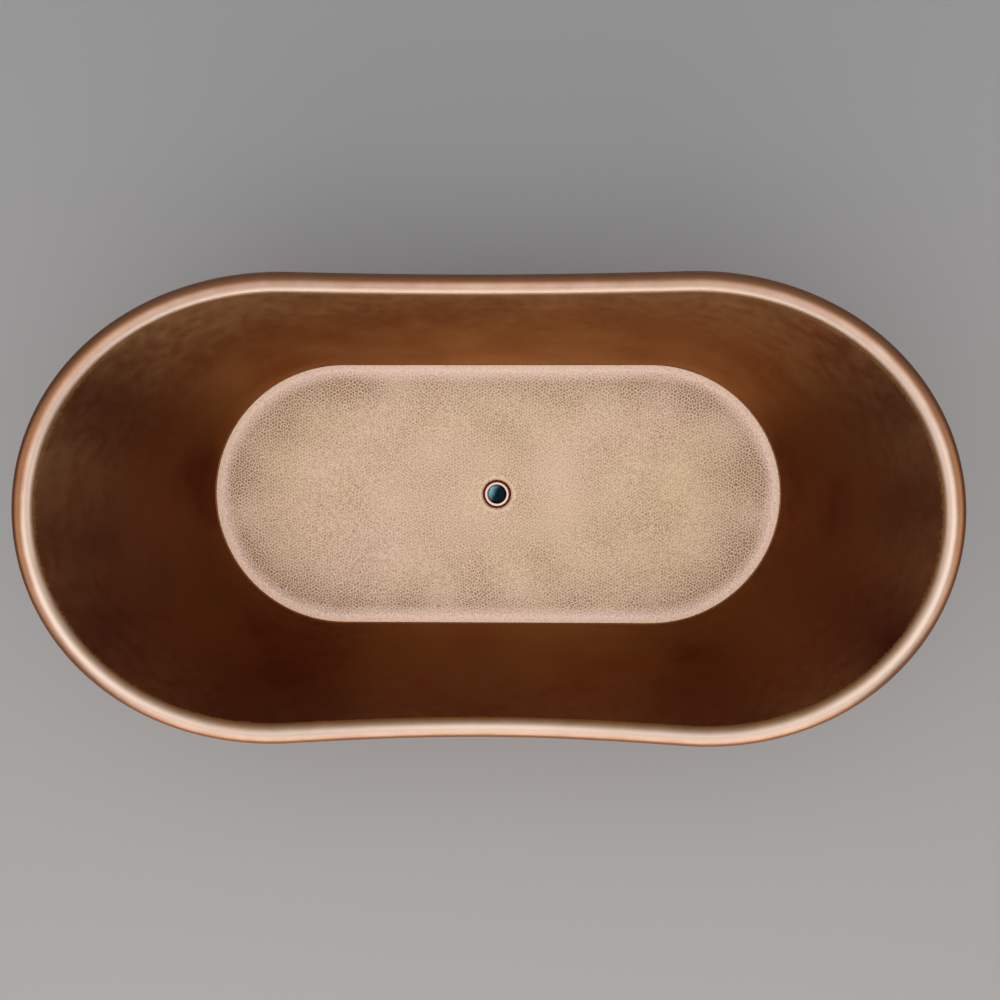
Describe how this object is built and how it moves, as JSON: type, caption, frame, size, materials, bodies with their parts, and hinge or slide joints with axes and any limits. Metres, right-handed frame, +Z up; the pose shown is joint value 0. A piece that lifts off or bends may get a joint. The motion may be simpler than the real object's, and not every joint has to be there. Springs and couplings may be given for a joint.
{
  "type": "freestanding bathtub",
  "caption": "Long freestanding copper bath with two raised ends, a rolled rim, a hammered floor with a central plugged waste, and a coved plinth.",
  "frame": {"origin": "centre of the bath on the floor it stands on", "axes": "+X along the bath's length, +Y across it, +Z up"},
  "size_m": [1.8296, 0.9396, 0.8095],
  "materials": {
    "dark_copper": "antiqued copper sheet, dark brown patina under satin wax, smooth",
    "polished_copper": "polished copper, lightly toned",
    "hammered_copper": "bare pale copper, planished with small round hammer marks",
    "waste_copper": "polished copper-plated brass",
    "black_nickel": "black nickel plate, mirror gloss",
    "brass": "machined brass",
    "core_steel": "drawn steel",
    "frame_steel": "black powder coat on welded steel",
    "zinc_steel": "bright zinc plate",
    "black_rubber": "moulded rubber",
    "red_seal": "red-brown sealing rubber"
  },
  "bodies": {
    "bath": {"basin_wall": "dark_copper", "cartridge_body": "brass", "cartridge_spring": "core_steel", "cleat_back_left": "zinc_steel", "cleat_back_right": "zinc_steel", "cleat_bolt_back_left": "zinc_steel", "cleat_bolt_back_right": "zinc_steel", "cleat_bolt_front_left": "zinc_steel", "cleat_bolt_front_right": "zinc_steel", "cleat_front_left": "zinc_steel", "cleat_front_right": "zinc_steel", "floor_pad_inner_back_left": "black_rubber", "floor_pad_inner_back_right": "black_rubber", "floor_pad_inner_front_left": "black_rubber", "floor_pad_inner_front_right": "black_rubber", "floor_pad_outer_back_left": "black_rubber", "floor_pad_outer_back_right": "black_rubber", "floor_pad_outer_front_left": "black_rubber", "floor_pad_outer_front_right": "black_rubber", "floor_pan": "hammered_copper", "foot_nut_back_left": "frame_steel", "foot_nut_back_right": "frame_steel", "foot_nut_front_left": "frame_steel", "foot_nut_front_right": "frame_steel", "frame_cross_inner_left": "frame_steel", "frame_cross_inner_right": "frame_steel", "frame_cross_outer_left": "frame_steel", "frame_cross_outer_right": "frame_steel", "frame_rail_back": "frame_steel", "frame_rail_front": "frame_steel", "plinth_bead": "polished_copper", "plinth_skirt": "dark_copper", "rim_core_tube_left": "core_steel", "rim_core_tube_right": "core_steel", "rim_roll": "polished_copper", "tail_nut": "brass", "tail_pipe": "waste_copper", "tail_washer": "black_rubber", "waste_body": "waste_copper", "waste_friction_washer": "brass", "waste_gasket": "black_rubber", "waste_nut": "brass", "waste_top_seal": "red_seal"},
    "plug": {"plug_cap": "black_nickel", "plug_seal": "black_rubber", "plug_stem": "brass"},
    "foot_front_left": {"foot_pad_front_left": "black_rubber", "foot_stud_front_left": "zinc_steel"},
    "foot_front_right": {"foot_pad_front_right": "black_rubber", "foot_stud_front_right": "zinc_steel"},
    "foot_back_left": {"foot_pad_back_left": "black_rubber", "foot_stud_back_left": "zinc_steel"},
    "foot_back_right": {"foot_pad_back_right": "black_rubber", "foot_stud_back_right": "zinc_steel"}
  },
  "joints": [
    {"name": "plug_press", "type": "slide", "parent": "bath", "child": "plug", "axis": [0, 0, 1], "range_m": [0, 0.01], "deforming": ["cartridge_spring"]},
    {"name": "foot_front_left_screw", "type": "slide", "parent": "bath", "child": "foot_front_left", "axis": [0, 0, -1], "range_m": [0, 0.015]},
    {"name": "foot_front_right_screw", "type": "slide", "parent": "bath", "child": "foot_front_right", "axis": [0, 0, -1], "range_m": [0, 0.015]},
    {"name": "foot_back_left_screw", "type": "slide", "parent": "bath", "child": "foot_back_left", "axis": [0, 0, -1], "range_m": [0, 0.015]},
    {"name": "foot_back_right_screw", "type": "slide", "parent": "bath", "child": "foot_back_right", "axis": [0, 0, -1], "range_m": [0, 0.015]}
  ]
}
